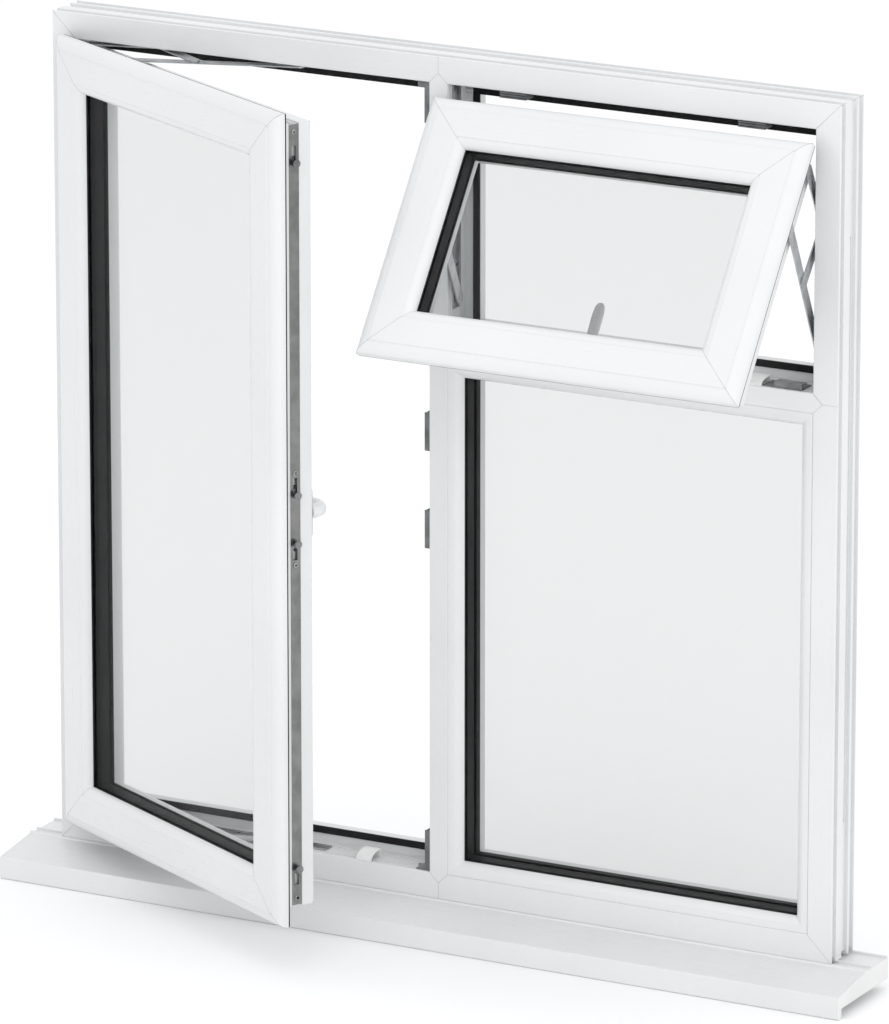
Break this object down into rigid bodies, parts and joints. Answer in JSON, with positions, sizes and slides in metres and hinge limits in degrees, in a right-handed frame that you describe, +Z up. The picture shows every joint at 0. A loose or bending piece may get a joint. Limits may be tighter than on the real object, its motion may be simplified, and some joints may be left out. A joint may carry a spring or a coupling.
{
  "type": "casement window",
  "caption": "Outward-opening white uPVC window: side-hung casement, top-hung vent over a fixed light, friction stays, espagnolette locks and a projecting sill.",
  "frame": {"origin": "centre of the sill bed, the underside of the sill on which the window stands, below the middle of the frame depth", "axes": "+X along the window width to the right seen from outside, +Y from the outside towards the room, +Z up"},
  "size_m": [1.304, 0.3602, 1.236],
  "materials": {
    "frame_upvc": "satin white extruded uPVC",
    "sash_upvc": "satin white extruded uPVC",
    "bead_upvc": "satin white extruded uPVC",
    "sill_upvc": "satin white extruded uPVC",
    "reinforcement": "galvanised",
    "gasket": "matt black",
    "glass": "clear float glass",
    "spacer": "matt black warm-edge spacer",
    "packers": "moulded",
    "white_nylon": "moulded white nylon",
    "handle_paint": "white powder coat",
    "keep_zinc": "zinc plated",
    "screw_steel": "zinc plated",
    "lock_steel": "satin steel",
    "stay_steel": "satin stainless"
  },
  "bodies": {
    "outer_frame": {"head": "frame_upvc", "bottom_rail": "frame_upvc", "left_jamb": "frame_upvc", "right_jamb": "frame_upvc", "mullion": "frame_upvc", "transom": "frame_upvc", "frame_steels": "reinforcement", "sill": "sill_upvc", "sill_end_caps": "sill_upvc", "rebate_gaskets": "gasket", "fixed_gaskets": "gasket", "fixed_glass": "glass", "fixed_spacer": "spacer", "fixed_beads": "bead_upvc", "fixed_packers": "packers", "casement_stay_tracks": "stay_steel", "vent_stay_tracks": "stay_steel", "keeps": "keep_zinc", "corner_keeps": "keep_zinc", "run_up_blocks": "white_nylon", "hinge_protectors": "keep_zinc", "frame_screws": "screw_steel"},
    "casement": {"casement_rails": "sash_upvc", "casement_hinge_stile": "sash_upvc", "casement_lock_stile": "sash_upvc", "casement_steels": "reinforcement", "casement_flange_gasket": "gasket", "casement_glass_gaskets": "gasket", "casement_glass": "glass", "casement_spacer": "spacer", "casement_beads": "bead_upvc", "casement_packers": "packers", "casement_stay_plates": "stay_steel", "casement_lock": "lock_steel", "casement_handle_base": "handle_paint"},
    "vent": {"vent_rails": "sash_upvc", "vent_stiles": "sash_upvc", "vent_steels": "reinforcement", "vent_flange_gasket": "gasket", "vent_glass_gaskets": "gasket", "vent_glass": "glass", "vent_spacer": "spacer", "vent_beads": "bead_upvc", "vent_stay_plates": "stay_steel", "vent_lock": "lock_steel", "vent_handle_base": "handle_paint"},
    "casement_upper_rod": {"casement_upper_rod": "lock_steel"},
    "casement_lower_rod": {"casement_lower_rod": "lock_steel"},
    "casement_handle": {"casement_handle": "handle_paint"},
    "casement_short_arms": {"casement_short_arms": "stay_steel"},
    "casement_long_arms": {"casement_long_arms": "stay_steel"},
    "casement_links": {"casement_links": "stay_steel"},
    "casement_shoes": {"casement_shoes": "stay_steel"},
    "vent_left_rod": {"vent_left_rod": "lock_steel"},
    "vent_right_rod": {"vent_right_rod": "lock_steel"},
    "vent_handle": {"vent_handle": "handle_paint"},
    "vent_short_arms": {"vent_short_arms": "stay_steel"},
    "vent_long_arms": {"vent_long_arms": "stay_steel"},
    "vent_links": {"vent_links": "stay_steel"},
    "vent_shoes": {"vent_shoes": "stay_steel"}
  },
  "joints": [
    {"name": "casement_open", "type": "hinge", "parent": "outer_frame", "child": "casement", "pos_m": [-0.591, -0.031, 0.627], "axis": [0, 0, -1], "range_deg": [-28.5, 11.5]},
    {"name": "casement_short_arm_turn", "type": "hinge", "parent": "outer_frame", "child": "casement_short_arms", "pos_m": [-0.455, -0.011, 0.627], "axis": [0, 0, 1], "range_deg": [-15.38, 6.25]},
    {"name": "casement_link_turn", "type": "hinge", "parent": "outer_frame", "child": "casement_links", "pos_m": [-0.436, -0.011, 0.627], "axis": [0, 0, -1], "range_deg": [-32.52, 13.17]},
    {"name": "casement_shoe_slide", "type": "slide", "parent": "outer_frame", "child": "casement_shoes", "axis": [-1, 0, 0], "range_m": [-0.02056, 0.00839]},
    {"name": "casement_long_arm_turn", "type": "hinge", "parent": "casement_shoes", "child": "casement_long_arms", "pos_m": [-0.22554, -0.011, 0.627], "axis": [0, 0, 1], "range_deg": [-18.28, 7.42]},
    {"name": "casement_handle_turn", "type": "hinge", "parent": "casement", "child": "casement_handle", "pos_m": [-0.09138, -0.24879, 0.627], "axis": [-0.4772, -0.8788, 0], "range_deg": [0, 90]},
    {"name": "casement_upper_rod_slide", "type": "slide", "parent": "casement", "child": "casement_upper_rod", "axis": [0, 0, 1], "range_m": [-0.0001, 0.0201]},
    {"name": "casement_lower_rod_slide", "type": "slide", "parent": "casement", "child": "casement_lower_rod", "axis": [0, 0, -1], "range_m": [-0.0001, 0.0201]},
    {"name": "vent_open", "type": "hinge", "parent": "outer_frame", "child": "vent_long_arms", "pos_m": [0.2885, -0.011, 0.884], "axis": [1, 0, 0], "range_deg": [-25.5, 0]},
    {"name": "vent_sash_turn", "type": "hinge", "parent": "vent_long_arms", "child": "vent", "pos_m": [0.2885, -0.09667, 1.06361], "axis": [-1, 0, 0], "range_deg": [-61.51, 0.05]},
    {"name": "vent_shoe_slide", "type": "slide", "parent": "outer_frame", "child": "vent_shoes", "axis": [0, 0, -1], "range_m": [-0.02717, 0.0001]},
    {"name": "vent_short_arm_turn", "type": "hinge", "parent": "vent_shoes", "child": "vent_short_arms", "pos_m": [0.2885, -0.011, 1.06135], "axis": [1, 0, 0], "range_deg": [-26.7, 0.05]},
    {"name": "vent_link_turn", "type": "hinge", "parent": "vent_shoes", "child": "vent_links", "pos_m": [0.2885, -0.011, 1.03735], "axis": [-1, 0, 0], "range_deg": [-39.56, 0.05]},
    {"name": "vent_handle_turn", "type": "hinge", "parent": "vent", "child": "vent_handle", "pos_m": [0.2885, -0.20649, 0.86652], "axis": [0, 0.809, -0.5878], "range_deg": [0, 90]},
    {"name": "vent_left_rod_slide", "type": "slide", "parent": "vent", "child": "vent_left_rod", "axis": [-1, 0, 0], "range_m": [-0.0001, 0.0201]},
    {"name": "vent_right_rod_slide", "type": "slide", "parent": "vent", "child": "vent_right_rod", "axis": [1, 0, 0], "range_m": [-0.0001, 0.0201]}
  ],
  "couplings": [
    {"joint": "casement_short_arm_turn", "follows": "casement_open", "ratio": 0.53942},
    {"joint": "casement_link_turn", "follows": "casement_open", "ratio": 1.1407},
    {"joint": "casement_shoe_slide", "follows": "casement_open", "m_per_rad": 0.041284},
    {"joint": "casement_long_arm_turn", "follows": "casement_open", "ratio": 0.64117},
    {"joint": "casement_upper_rod_slide", "follows": "casement_handle_turn", "m_per_rad": 0.012732},
    {"joint": "casement_lower_rod_slide", "follows": "casement_handle_turn", "m_per_rad": 0.012732},
    {"joint": "vent_sash_turn", "follows": "vent_open", "ratio": 2.4118},
    {"joint": "vent_shoe_slide", "follows": "vent_open", "m_per_rad": 0.060998},
    {"joint": "vent_short_arm_turn", "follows": "vent_open", "ratio": 1.0467},
    {"joint": "vent_link_turn", "follows": "vent_open", "ratio": 1.551},
    {"joint": "vent_left_rod_slide", "follows": "vent_handle_turn", "m_per_rad": 0.012732},
    {"joint": "vent_right_rod_slide", "follows": "vent_handle_turn", "m_per_rad": 0.012732}
  ]
}
